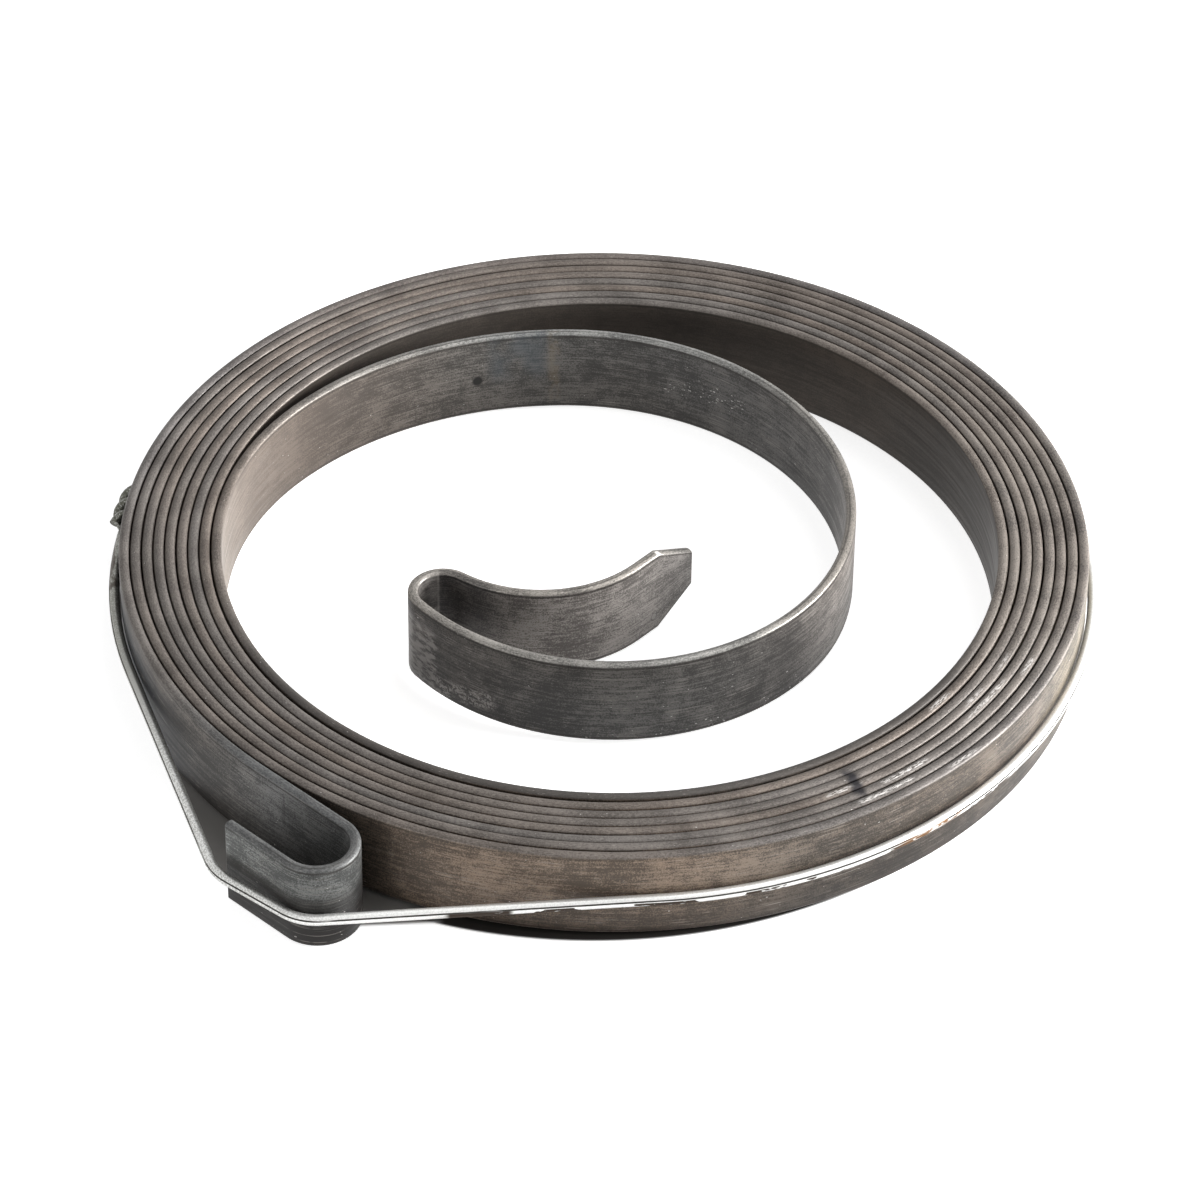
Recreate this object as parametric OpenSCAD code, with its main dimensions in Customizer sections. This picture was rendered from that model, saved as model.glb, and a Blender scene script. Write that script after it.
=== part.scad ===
// Recoil starter spring: one flat steel strip, wound tight, with a hook bent at each end.
// A twisted wire is tied round the coil and its outer hook and keeps the wound spring closed.
// The coil's axis is Z, and the strip's lower edge lies on the plane z = 0.

/* [Strip] */
// Width of the strip, which is the height of the coil
strip_w = 8; // [6:0.5:14]
// Thickness of the strip
strip_t = 0.85; // [0.6:0.05:1.1]
// How far the strip's rolled edges are rounded
edge_round = 0.25; // [0.05:0.05:0.25]

/* [Coil] */
// Outside diameter over the first half turn
coil_d = 80; // [72:1:120]
// Full turns that lie tight on each other
turns = 8; // [4:1:9]
// Gap between one turn and the next
turn_gap = 0.095; // [0.05:0.005:0.3]
// Where the outer hook leaves the coil, as an angle from +X
hook_at = 227.5; // [180:0.5:270]

/* [Outer hook] */
// Straight leg from the coil to the bend
leg_l = 9.3; // [6:0.1:14]
// Radius of the bend at the middle of the strip
hook_r = 3.05; // [2:0.05:5]
// Straight return from the bend to the strip's outer end
return_l = 6.6; // [4:0.1:9]

/* [Free inner turn] */
// How far the inmost turn stays on the coil past the last full turn, as an angle
peel_angle = 57.5; // [30:0.5:80]
// How much tighter than the inmost turn the bend at the left is
left_tighter = 6.4; // [4:0.1:10]
// Angle of the bend at the left
left_angle = 28.5; // [15:0.5:45]
// How much tighter the bend at the back is
back_tighter = 2.2; // [1:0.1:6]
// Angle of the bend at the back
back_angle = 49.5; // [35:0.5:60]
// How much tighter the bend at the right is
right_tighter = 8.4; // [6:0.1:11]
// Angle of the bend at the right
right_angle = 105.5; // [90:0.5:115]
// How much tighter the bend at the front is
front_tighter = 11.9; // [9:0.1:14]
// Angle of the bend at the front
front_angle = 63; // [50:0.5:75]
// How much tighter the bend that leads into the inner hook is
lead_tighter = 12.3; // [9:0.1:15]
// Angle of the bend that leads into the inner hook
lead_angle = 64.5; // [50:0.5:75]
// How far the strip has risen above the coil at the inner hook, over the last two bends
inner_lift = 0.3; // [0:0.05:1]

/* [Inner hook and tail] */
// Radius of the inner hook at the middle of the strip
inner_hook_r = 2.45; // [1.5:0.05:4]
// Angle of the inner hook
inner_hook_angle = 165.5; // [140:0.5:180]
// Radius of the tail, which bends the other way
tail_r = 10.6; // [7:0.1:15]
// Angle of the tail
tail_angle = 85; // [60:1:100]
// Straight end of the tail
tail_l = 6.6; // [4.5:0.1:9]
// Length of the sloping cut at each corner of the tail
trim_l = 4.2; // [1:0.1:4.4]
// Depth of that cut, across the strip
trim_w = 2.2; // [0.5:0.1:2.6]

/* [Retaining wire] */
// Diameter of the wire
wire_d = 0.9; // [0.6:0.05:1.4]
// Gap between the wire and the coil
wire_clear = 0.08; // [0.05:0.01:0.3]
// Height of the wire's middle on the coil
wire_z = 4; // [2:0.1:5]
// Height of the wire's middle at the outer hook
wire_hook_z = 3.4; // [2:0.1:5]
// Radius at which the wire rounds the strip's outer end
corner_r = 5; // [3:0.1:8]
// Gap between the wire and that end of the strip
corner_clear = 0.45; // [0.1:0.05:1]

/* [Twisted tie] */
// Where the twist starts, as an angle from +X
twist_at = 174; // [160:0.5:185]
// Length over which the two ends are twisted
twist_l = 7.5; // [6:0.1:12]
// Turns in the twist, always a half more than a whole number
twist_turns = 1.5; // [0.5:1:1.5]
// Gap between the two strands
twist_gap = 0.06; // [0.02:0.01:0.2]
// How far short of the twist's start the first cut end stops
first_cut = 0.45; // [0:0.05:2]
// How far short of the twist's end the second cut end stops
second_cut = 1.05; // [0:0.05:2]

/* [Hidden] */

// Largest gap between a facet and the true curve, and the largest angle that a facet takes
facet_gap = 0.07;
facet_angle = 15;
twist_facet_angle = 24;
wire_sides = 10;

pitch = strip_t + turn_gap;
first_r = coil_d / 2 - strip_t / 2;
inner_r = first_r - turns * pitch;
hook_dir = hook_at + 90;

function dir(a) = [cos(a), sin(a)];
function flat(p) = [p[0], p[1]];
function facets(r, angle) = ceil(abs(angle) / min(facet_angle, 2 * acos(1 - facet_gap / r)));

// The strip's middle line is a list of moves, from the outer end inwards. A move is a radius and an angle,
// with left turns positive, or a length and no angle. A place is x, y and heading.
moves = concat(
    [[return_l, 0], [hook_r, 180], [leg_l, 0]],
    [for (half = [0 : 2 * turns - 1]) [first_r - half * pitch / 2, -180]],
    [[inner_r, -peel_angle], [inner_r - left_tighter, -left_angle], [inner_r - back_tighter, -back_angle]],
    [[inner_r - right_tighter, -right_angle], [inner_r - front_tighter, -front_angle]],
    [[inner_r - lead_tighter, -lead_angle]],
    [[inner_hook_r, -inner_hook_angle], [tail_r, tail_angle], [tail_l - trim_l, 0], [trim_l, 0]]);

function moved(p, m) = m[1] == 0
    ? [p[0] + m[0] * cos(p[2]), p[1] + m[0] * sin(p[2]), p[2]]
    : let (r = sign(m[1]) * m[0], a = p[2] + m[1])
      [p[0] + r * (sin(a) - sin(p[2])), p[1] - r * (cos(a) - cos(p[2])), a];
function places(p, i = 0) = i == len(moves)
    ? [p]
    : let (m = moves[i], n = m[1] == 0 ? 1 : facets(m[0], m[1]))
      concat([p], [for (k = [1 : 1 : n - 1]) moved(p, [m[0], m[1] * k / n])], places(moved(p, m), i + 1));

coil_start = first_r * dir(hook_at);
bend_mid = coil_start + leg_l * dir(hook_dir) + hook_r * dir(hook_at);
strip_end = bend_mid + hook_r * dir(hook_at) - return_l * dir(hook_dir);
strip_places = places([strip_end[0], strip_end[1], hook_dir]);

// The strip's section: offset from its middle line and height. The trim takes height off both edges.
function strip_section(trim) = let (half = strip_t / 2, e = edge_round, top = strip_w - trim)
    [[half, trim + e], [half, top - e], [half - e, top], [e - half, top],
     [-half, top - e], [-half, trim + e], [e - half, trim], [half - e, trim]];

// A solid from rings of points: its sides, and a cap at each end.
module swept(rings) {
    n = len(rings[0]);
    last = len(rings) - 1;
    sides = [for (i = [0 : last - 1], k = [0 : n - 1]) let (j = (k + 1) % n)
        each [[i * n + k, i * n + j, (i + 1) * n + j], [i * n + k, (i + 1) * n + j, (i + 1) * n + k]]];
    caps = [[for (k = [n - 1 : -1 : 0]) k], [for (k = [0 : n - 1]) last * n + k]];
    polyhedron([for (ring = rings) each ring], concat(sides, caps));
}

// The rise follows the heading: none before the last two bends of the free turn, and all of it after them.
rise_angle = front_angle + lead_angle;
rise_from = hook_dir + 180 - 360 * turns - peel_angle - left_angle - back_angle - right_angle;
function rise(heading) = inner_lift * min(1, max(0, (rise_from - heading) / rise_angle));

module spring_strip() {
    last = len(strip_places) - 1;
    rings = [for (i = [0 : last])
        let (p = strip_places[i], across = [-sin(p[2]), cos(p[2])], lift = rise(p[2]))
        [for (s = strip_section(i == last ? trim_w : 0))
            [p[0] + s[0] * across[0], p[1] + s[0] * across[1], s[1] + lift]]];
    color([0.27, 0.25, 0.23]) swept(rings);
}

// The wire runs as a belt, clockwise, round the two outmost half turns, the hook's bend and the strip's end.
// Each is a circle: its centre and the radius at the wire's middle.
wire_off = strip_t / 2 + wire_clear + wire_d / 2;
belt_coil = [[0, 0], first_r + wire_off];
belt_coil_2 = [-pitch / 2 * dir(hook_at), first_r - pitch / 2 + wire_off];
belt_hook = [bend_mid, hook_r + wire_off];

// Place on both circles, as an angle, where the straight run from one to the other touches them
function touch(a, b) = let (v = b[0] - a[0])
    90 + atan2(v[1], v[0]) - asin((a[1] - b[1]) / norm(v));
// An angle brought to less than a turn below another
function below(a, b) = b - a >= 0 ? below(a, b - 360) : a - b >= 360 ? below(a, b + 360) : b;
// Points clockwise round a circle from one angle to another, at one height
function belt_arc(c, from, to, z) =
    let (turn = from - below(from, to), n = facets(c[1], turn))
    [for (k = [0 : n]) let (p = c[0] + c[1] * dir(from - turn * k / n)) [p[0], p[1], z]];

// The bend at the strip's end stands off its corner, halfway between the wire's runs to either side.
end_corner = strip_end + strip_t / 2 * dir(hook_at);
corner_in = dir(hook_at + 180) + dir(touch([end_corner, 0], belt_coil) - 180);
belt_corner = [end_corner + (corner_r - corner_clear - wire_d / 2) * corner_in / norm(corner_in), corner_r];

hook_touch = touch(belt_coil_2, belt_hook);
corner_touch = touch(belt_hook, belt_corner);
coil_touch = touch(belt_corner, belt_coil);

// In the twist both strands wind round a line just off the coil. One starts on the coil and ends
// outside, and the other the other way round. The turn starts and ends gently.
strand_r = (wire_d + twist_gap) / 2;
twist_r = belt_coil[1] + strand_r;
twist_end = twist_at - twist_l / twist_r * 180 / PI;
function eased(s) = s * s * (3 - 2 * s);
function strand(s, side) =
    let (a = twist_at + (twist_end - twist_at) * s, w = side + 360 * twist_turns * eased(s),
         p = (twist_r + strand_r * cos(w)) * dir(a))
    [p[0], p[1], wire_z + strand_r * sin(w)];
twist_rings = ceil(360 * twist_turns / twist_facet_angle);
first_share = first_cut / twist_l;
second_share = 1 - second_cut / twist_l;

wire_points = concat(
    [for (k = [0 : twist_rings]) strand(first_share + (1 - first_share) * k / twist_rings, 0)],
    belt_arc(belt_coil, twist_end, hook_at - 180, wire_z),
    belt_arc(belt_coil_2, hook_at - 180, hook_touch, wire_z),
    belt_arc(belt_hook, hook_touch, corner_touch, wire_hook_z),
    belt_arc(belt_corner, corner_touch, coil_touch, wire_hook_z),
    belt_arc(belt_coil, coil_touch, twist_at, wire_z),
    [for (k = [1 : twist_rings]) strand(second_share * k / twist_rings, 180)]);

// Points without those that repeat the one before
function distinct(points) = [for (i = [0 : len(points) - 1])
    if (i == 0 || norm(points[i] - points[max(i, 1) - 1]) > wire_d / 100) points[i]];

module retaining_wire() {
    points = distinct(wire_points);
    last = len(points) - 1;
    rings = [for (i = [0 : last])
        let (along = points[min(i + 1, last)] - points[max(i - 1, 0)], t = along / norm(along),
             side = [t[1], -t[0], 0] / norm(flat(t)), up = cross(side, t))
        [for (k = [0 : wire_sides - 1]) let (a = 360 * k / wire_sides)
            points[i] + wire_d / 2 * (cos(a) * side + sin(a) * up)]];
    color([0.78, 0.79, 0.8]) swept(rings);
}

spring_strip();
retaining_wire();
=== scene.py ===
# %% [markdown]
# # A recoil starter spring
#
# The spring that pulls a small engine's starter rope back in is one long steel strip, wound on edge into a
# tight coil. It is sold wound, and a twisted wire keeps it closed until it is in its housing. This lesson
# dresses the solid model of that spring: both pieces are worked out again as smooth surfaces, and then each
# gets the finish that such steel has.
#
# The solid model comes first. It is the frame that everything else has to agree with, so its box is kept.

import bpy
import numpy as np
from mathutils import Matrix, Vector


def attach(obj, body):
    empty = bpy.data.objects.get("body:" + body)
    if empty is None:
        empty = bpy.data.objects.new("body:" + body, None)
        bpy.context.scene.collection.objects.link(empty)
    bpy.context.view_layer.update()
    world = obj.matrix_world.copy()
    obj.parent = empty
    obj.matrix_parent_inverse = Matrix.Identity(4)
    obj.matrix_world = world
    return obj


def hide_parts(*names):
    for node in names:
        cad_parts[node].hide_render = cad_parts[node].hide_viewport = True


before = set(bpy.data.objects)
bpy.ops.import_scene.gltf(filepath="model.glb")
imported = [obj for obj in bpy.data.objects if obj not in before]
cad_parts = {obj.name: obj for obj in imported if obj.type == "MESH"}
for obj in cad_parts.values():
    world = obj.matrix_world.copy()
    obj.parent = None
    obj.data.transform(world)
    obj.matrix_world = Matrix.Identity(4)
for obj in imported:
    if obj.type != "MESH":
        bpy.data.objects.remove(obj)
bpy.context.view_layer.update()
MM = 0.001

# %% [markdown]
# ## The camera
#
# A camera can be placed by eye, or worked out from known shapes in a picture. The coil is round and its
# strip has one width, so the ellipse that it makes gives the angle of view and the distance. The camera
# looks down at about forty degrees from nearly half a metre away, with a long lens. A very small roll and
# shift bring the coil to its place in the frame.

# %% Place the camera
CAMERA_ELEVATION = np.radians(39.737)
CAMERA_ROLL = np.radians(0.802)
CAMERA_DISTANCE = 0.450
SENSOR = 36.0
LENS_PER_SENSOR = 4.5
FRAME_SHIFT = (-0.00366, 0.00979)
CLIP = (0.01, 20)

back = np.array([0, -np.cos(CAMERA_ELEVATION), np.sin(CAMERA_ELEVATION)])
level_right = np.array([1.0, 0, 0])
level_up = np.cross(back, level_right)
right = np.cos(CAMERA_ROLL) * level_right + np.sin(CAMERA_ROLL) * level_up
up = np.cross(back, right)

lens = bpy.data.cameras.new("camera")
lens.sensor_width = SENSOR
lens.lens = SENSOR * LENS_PER_SENSOR
lens.shift_x, lens.shift_y = FRAME_SHIFT
lens.clip_start, lens.clip_end = CLIP
camera = bpy.data.objects.new("camera", lens)
bpy.context.scene.collection.objects.link(camera)
placed = np.eye(4)
placed[:3] = np.stack([right, up, back, back * CAMERA_DISTANCE], 1)
camera.matrix_world = Matrix(placed.tolist())
bpy.context.scene.camera = camera
print("camera at", np.round(back * CAMERA_DISTANCE, 3), "m, lens", lens.lens, "mm")

# %% [markdown]
# ## The strip's path
#
# A wound strip could be drawn as a spiral formula, but a spiral has no place for hooks. A bender thinks in
# moves instead: go straight for so far, bend by this radius through that angle. A list of such moves gives
# the coil, both hooks and the tail in one line. Each tight turn is two half circles, and each is half a
# pitch smaller than the one before, which is how strip lies when it is wound on itself.

# %% List the bends
# Angles are in degrees. A free bend says by how many millimetres its radius is less than the coil's inside
# radius, and through what angle it goes.
STRIP_WIDTH = 8.0 * MM
STRIP_THICK = 0.85 * MM
TURN_GAP = 0.095 * MM
COIL_RADIUS = 40.0 * MM - STRIP_THICK / 2
COIL_TURNS = 8
HOOK_AT = 227.5
PITCH = STRIP_THICK + TURN_GAP
INNER_RADIUS = COIL_RADIUS - COIL_TURNS * PITCH

LEG, HOOK_RADIUS, RETURN = 9.3 * MM, 3.05 * MM, 6.6 * MM
PEEL_ANGLE = 57.5
FREE_BENDS = [(6.4, 28.5), (2.2, 49.5), (8.4, 105.5), (11.9, 63.0), (12.3, 64.5)]
INNER_HOOK = (2.45 * MM, -165.5)
TAIL = (10.6 * MM, 85.0)
TAIL_LENGTH, TRIM_LENGTH, TRIM_DEPTH = 6.6 * MM, 4.2 * MM, 2.2 * MM

# The strip was sheared at both ends, so the first and last steps are short ones that ease the cut edges.
END_EASE, END_STEPS = 0.12 * MM, 4
eased_end = [(END_EASE / END_STEPS, 0)] * END_STEPS

bends = eased_end + [(RETURN - END_EASE, 0), (HOOK_RADIUS, 180), (LEG, 0)]
bends += [(COIL_RADIUS - half * PITCH / 2, -180) for half in range(2 * COIL_TURNS)]
bends += [(INNER_RADIUS, -PEEL_ANGLE)]
bends += [(INNER_RADIUS - less * MM, -angle) for less, angle in FREE_BENDS]
bends += [INNER_HOOK, TAIL, (TAIL_LENGTH - TRIM_LENGTH, 0), (TRIM_LENGTH - END_EASE, 0)] + eased_end
print(len(bends), "moves from the outer end to the inner end")


# %% Follow the bends
def toward(angle):
    """Unit vector in the plane of the coil, at an angle in degrees from +X."""
    return np.array([np.cos(np.radians(angle)), np.sin(np.radians(angle))])


def follow(start, heading, moves, spacing, finest):
    """Points, headings and distances along a list of moves.

    A straight move adds its length along the heading. A bend of radius r from heading h to g moves the
    point by r (sin g - sin h, cos h - cos g), with r negative for a right turn. Points are at most
    `spacing` apart, and at most `finest` degrees of turn apart."""
    at, parts = np.array(start, float), []
    done = 0.0
    for size, angle in moves:
        length = size if angle == 0 else size * np.radians(abs(angle))
        count = int(np.ceil(max(length / spacing, abs(angle) / finest)))
        share = np.linspace(0, 1, count + 1)
        turn = np.radians(heading + angle * share)
        if angle == 0:
            xy = at + np.outer(share * size, toward(heading))
        else:
            r = np.sign(angle) * size
            xy = at + r * np.stack([np.sin(turn) - np.sin(turn[0]), np.cos(turn[0]) - np.cos(turn)], 1)
        first = 0 if not parts else 1
        parts.append(np.column_stack([xy, turn, done + length * share])[first:])
        at, heading, done = xy[-1], heading + angle, done + length
    rows = np.concatenate(parts)
    return rows[:, :2], rows[:, 2], rows[:, 3]


STATION_SPACING = 1.0 * MM
STATION_ANGLE = 4.0
hook_ahead = HOOK_AT + 90
hook_middle = COIL_RADIUS * toward(HOOK_AT) + LEG * toward(hook_ahead) + HOOK_RADIUS * toward(HOOK_AT)
outer_end = hook_middle + HOOK_RADIUS * toward(HOOK_AT) - RETURN * toward(hook_ahead)
line, headings, along = follow(outer_end, hook_ahead, bends, STATION_SPACING, STATION_ANGLE)
STRIP_LENGTH = along[-1]
print(len(line), "stations along", round(STRIP_LENGTH, 3), "m of strip")

# %% [markdown]
# ## How a wound strip settles
#
# A perfect path looks drawn, not wound. On the real spring no turn lies exactly on the next: some stand a
# few hundredths of a millimetre higher, the gaps between them open and close, and the inmost turn sags away
# from its neighbour at the front. One could add noise to every vertex, but strip is stiff, so it only
# wanders slowly. A few sine waves of the distance along it do that, with lengths that do not fit the turns,
# so that neighbours never move together. The free inner end also rises a little towards its hook.

# %% Let the turns settle
INNER_LIFT = 0.3 * MM
SIDE_WANDER, HEIGHT_WANDER = 0.034 * MM, 0.04 * MM
SAG_AT, SAG_LENGTH, SAG = 1.812, 0.030, 0.22 * MM
COIL_FROM, COIL_TO, COIL_EASE = 0.027, 1.86, 0.03


def wander(waves):
    """Sum of sines of the distance along the strip, between -1 and 1. A wave is a length and a phase."""
    return sum(np.sin(2 * np.pi * along / length + phase) for length, phase in waves) / len(waves)


in_coil = np.clip((along - COIL_FROM) / COIL_EASE, 0, 1) * np.clip((COIL_TO - along) / COIL_EASE, 0, 1)
sag = SAG * np.exp(-((along - SAG_AT) / SAG_LENGTH) ** 2)
sideways = in_coil * SIDE_WANDER * wander([(0.147, 0.4), (0.091, 2.1), (0.331, 1.0)]) - sag
settle = in_coil * HEIGHT_WANDER * (1 + wander([(0.163, 1.3), (0.379, 0.2), (0.071, 2.6)]))

rise_angle = FREE_BENDS[3][1] + FREE_BENDS[4][1]
rise_from = hook_ahead + 180 - 360 * COIL_TURNS - PEEL_ANGLE - sum(angle for _, angle in FREE_BENDS[:3])
lift = INNER_LIFT * np.clip((rise_from - np.degrees(headings)) / rise_angle, 0, 1)
print("the inner end rises", round(lift.max() / MM, 2), "mm;",
      "turns differ by", round(settle.max() / MM, 2), "mm")

# %% [markdown]
# ## The strip's surface
#
# The strip is rolled, so its faces are flat and its edges are crowned. Blender could sweep a bevel object
# along a curve, but then the tail's sloping cuts could not be made. Here a section is carried along the
# path instead: every point of the surface is a station of the path, plus a sideways offset, plus a height.
# At the tail the height shrinks towards the end, which cuts both corners off. The section starts at the
# middle of the lower edge, so the seam of the UV map lies where the spring stands.

# %% A skin over a grid of points
def skin(name, grid, u, v):
    """A closed mesh over a grid of points: rows along the piece and columns round it.

    Each cell of the grid is a quad, the last column joins the first, and each end is one flat face. The UV
    map holds the distance along the piece and the distance round it, in metres."""
    rows, cols = grid.shape[:2]
    i, j = np.meshgrid(np.arange(rows - 1), np.arange(cols), indexing="ij")
    k = (j + 1) % cols
    quads = np.stack([i * cols + j, i * cols + k, (i + 1) * cols + k, (i + 1) * cols + j], -1).reshape(-1, 4)
    ends = [list(range(cols))[::-1], list(range((rows - 1) * cols, rows * cols))]
    mesh = bpy.data.meshes.new(name)
    mesh.from_pydata(grid.reshape(-1, 3).tolist(), [], quads.tolist() + ends)
    side_uv = np.stack([np.stack([u[i], u[i], u[i + 1], u[i + 1]], -1),
                        np.stack([v[j], v[j + 1], v[j + 1], v[j]], -1)], -1).reshape(-1, 2)
    end_uv = np.concatenate([np.stack([np.full(cols, u[0]), v[:-1][::-1]], 1),
                             np.stack([np.full(cols, u[-1]), v[:-1]], 1)])
    layer = mesh.uv_layers.new(name="run")
    layer.data.foreach_set("uv", np.concatenate([side_uv, end_uv]).ravel())
    smooth = np.ones(len(quads) + 2, bool)
    smooth[-2:] = False
    mesh.polygons.foreach_set("use_smooth", smooth)
    mesh.validate()
    piece = bpy.data.objects.new(name, mesh)
    bpy.context.scene.collection.objects.link(piece)
    return piece


def round_distance(section):
    """Distance round a closed section, from its first point back to it."""
    step = np.linalg.norm(np.roll(section, -1, 0) - section, axis=1)
    return np.concatenate([[0], np.cumsum(step)])


print("a skin closes a grid of points, with a flat face at each end")

# %% The strip's section
CROWN_WIDE, CROWN_HIGH = 0.41 * MM, 0.27 * MM
CORNER_POINTS = 6
FACE_POINTS = 4

# Each section point has a sideways offset, a height inside its crown, and its share of the flat height.
arc = np.radians(np.linspace(0, 90, CORNER_POINTS))
inner = STRIP_THICK / 2 - CROWN_WIDE
rise = np.linspace(0, 1, FACE_POINTS + 2)[1:-1]
wide, high = CROWN_WIDE * np.cos(arc), CROWN_HIGH * np.sin(arc)
low, top = np.zeros(CORNER_POINTS), np.ones(CORNER_POINTS)
foot = (np.array([0.0]), np.array([-CROWN_HIGH]), np.array([0.0]))
head = (np.array([0.0]), np.array([CROWN_HIGH]), np.array([1.0]))
outer_face = (np.full(FACE_POINTS, STRIP_THICK / 2), np.zeros(FACE_POINTS), rise)
inner_face = (np.full(FACE_POINTS, -STRIP_THICK / 2), np.zeros(FACE_POINTS), rise[::-1])
outer_half = [foot, (inner + wide[::-1], -high[::-1], low), outer_face, (inner + wide, high, top)]
inner_half = [head, (-inner - wide[::-1], high[::-1], top), inner_face, (-inner - wide, -high, low)]
offset, bulge, level = np.concatenate([np.stack(part, 1) for part in outer_half + inner_half]).T

section = np.stack([offset, CROWN_HIGH + bulge + level * (STRIP_WIDTH - 2 * CROWN_HIGH)], 1)
round_strip = round_distance(section)
TOP_MIDDLE = round_strip[-1] / 2
print(len(section), "points and", round(round_strip[-1] / MM, 2), "mm round the section")

# %% Carry the section along the path
# The ends are eased by a quarter circle: the section shrinks by 1 - sqrt(1 - t t) of the ease.
from_end = np.minimum(along, STRIP_LENGTH - along)
ease = END_EASE * (1 - np.sqrt(1 - np.clip(1 - from_end / END_EASE, 0, 1) ** 2))[:, None]
trim = TRIM_DEPTH * np.clip((along - STRIP_LENGTH + TRIM_LENGTH) / TRIM_LENGTH, 0, 1)[:, None] + ease
flat_height = STRIP_WIDTH - 2 * CROWN_HIGH - 2 * trim
height = (settle + lift)[:, None] + trim + CROWN_HIGH + bulge + level * flat_height
aside = offset * (1 - 2 * ease / STRIP_THICK) + sideways[:, None]
strip_grid = np.stack([line[:, :1] - aside * np.sin(headings)[:, None],
                       line[:, 1:] + aside * np.cos(headings)[:, None], height], -1)
spring = skin("wound_strip", strip_grid, along, round_strip)
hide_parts("spring_strip")
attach(spring, "root")
print("strip:", len(spring.data.polygons), "faces")

# %% [markdown]
# ## The wire's route
#
# The wire is a belt. It goes once round the coil, runs straight to the bend of the outer hook, follows the
# hook's return to the strip's end and runs straight back to the coil. Each place that it rounds is a circle,
# and a straight run touches two circles, so the route is arcs joined by tangents. At the left the two ends
# are twisted round each other, and both cut ends stay on the outside.

# %% Work out the belt
WIRE_D = 0.9 * MM
WIRE_GAP = 0.08 * MM
WIRE_HEIGHT, HOOK_HEIGHT = 4.0 * MM, 3.4 * MM
CORNER_RADIUS, CORNER_GAP = 5.0 * MM, 0.45 * MM
TWIST_AT, TWIST_LENGTH, TWIST_TURNS, TWIST_GAP = 174.0, 7.5 * MM, 1.5, 0.06 * MM
TWIST_CUTS = (0.15, 0.86)
ARC_STEP, STRAND_POINTS = 2.0, 60


def touch(a, b):
    """Angle at which a straight run from circle a to circle b leaves both, going clockwise round each.

    The run's heading is that of the line between the centres, less the angle whose sine is the difference
    of the radii over the distance. The point it touches is a quarter turn to its left."""
    gap = b[0] - a[0]
    return 90 + np.degrees(np.arctan2(gap[1], gap[0]) - np.arcsin((a[1] - b[1]) / np.hypot(*gap)))


def clockwise(circle, start, end, level):
    """Points round a circle, clockwise from one angle to another, at a height."""
    sweep = (start - end) % 360
    angle = np.radians(start - np.linspace(0, sweep, int(np.ceil(sweep / ARC_STEP)) + 1))
    xy = circle[0] + circle[1] * np.stack([np.cos(angle), np.sin(angle)], 1)
    return np.column_stack([xy, np.full(len(xy), level)])


stand = STRIP_THICK / 2 + WIRE_GAP + WIRE_D / 2
round_coil = (np.zeros(2), COIL_RADIUS + stand)
round_second = (-PITCH / 2 * toward(HOOK_AT), COIL_RADIUS - PITCH / 2 + stand)
round_hook = (hook_middle, HOOK_RADIUS + stand)
end_corner = outer_end + STRIP_THICK / 2 * toward(HOOK_AT)
inward = toward(HOOK_AT + 180) + toward(touch((end_corner, 0), round_coil) - 180)
inward /= np.hypot(*inward)
round_end = (end_corner + (CORNER_RADIUS - CORNER_GAP - WIRE_D / 2) * inward, CORNER_RADIUS)
leave_coil = touch(round_second, round_hook)
leave_hook = touch(round_hook, round_end)
leave_end = touch(round_end, round_coil)
leaves = np.round([leave_coil, leave_hook, leave_end], 1)
print("the wire leaves the coil, hook and end at", leaves, "degrees")

# %% Twist the ends
strand_off = (WIRE_D + TWIST_GAP) / 2
twist_radius = round_coil[1] + strand_off
twist_sweep = np.degrees(TWIST_LENGTH / twist_radius)


def strand(start, end, side):
    """Points of one strand of the twist, between two shares of its length.

    The strand winds round a line that follows the coil. The winding angle grows by three half turns, slowly
    at both ends, as t t (3 - 2 t)."""
    t = np.linspace(start, end, STRAND_POINTS)
    place = np.radians(TWIST_AT - twist_sweep * t)
    wind = np.radians(side + 360 * TWIST_TURNS * t * t * (3 - 2 * t))
    reach = twist_radius + strand_off * np.cos(wind)
    climb = WIRE_HEIGHT + strand_off * np.sin(wind)
    return np.stack([reach * np.cos(place), reach * np.sin(place), climb], 1)


route = np.concatenate([
    strand(TWIST_CUTS[0], 1, 0),
    clockwise(round_coil, TWIST_AT - twist_sweep, HOOK_AT - 180, WIRE_HEIGHT)[1:],
    clockwise(round_second, HOOK_AT - 180, leave_coil, WIRE_HEIGHT)[1:],
    clockwise(round_hook, leave_coil, leave_hook, HOOK_HEIGHT),
    clockwise(round_end, leave_hook, leave_end, HOOK_HEIGHT),
    clockwise(round_coil, leave_end, TWIST_AT, WIRE_HEIGHT),
    strand(0, TWIST_CUTS[1], 180)[1:]])
wire_along = np.concatenate([[0], np.cumsum(np.linalg.norm(np.diff(route, axis=0), axis=1))])
print(len(route), "points along", round(wire_along[-1], 3), "m of wire")

# %% Carry a circle along the route
WIRE_SIDES = 16
ahead = np.gradient(route, axis=0)
ahead /= np.linalg.norm(ahead, axis=1, keepdims=True)
beside = np.stack([ahead[:, 1], -ahead[:, 0], np.zeros(len(route))], 1)
beside /= np.linalg.norm(beside, axis=1, keepdims=True)
above = np.cross(beside, ahead)
turn = np.radians(np.arange(WIRE_SIDES) * 360 / WIRE_SIDES)
wire_grid = route[:, None] + WIRE_D / 2 * (
    np.cos(turn)[None, :, None] * beside[:, None] + np.sin(turn)[None, :, None] * above[:, None])
ROUND_WIRE = np.pi * WIRE_D
wire = skin("tie_wire", wire_grid, wire_along, np.linspace(0, ROUND_WIRE, WIRE_SIDES + 1))
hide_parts("retaining_wire")
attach(wire, "root")
print("wire:", len(wire.data.polygons), "faces")

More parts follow.
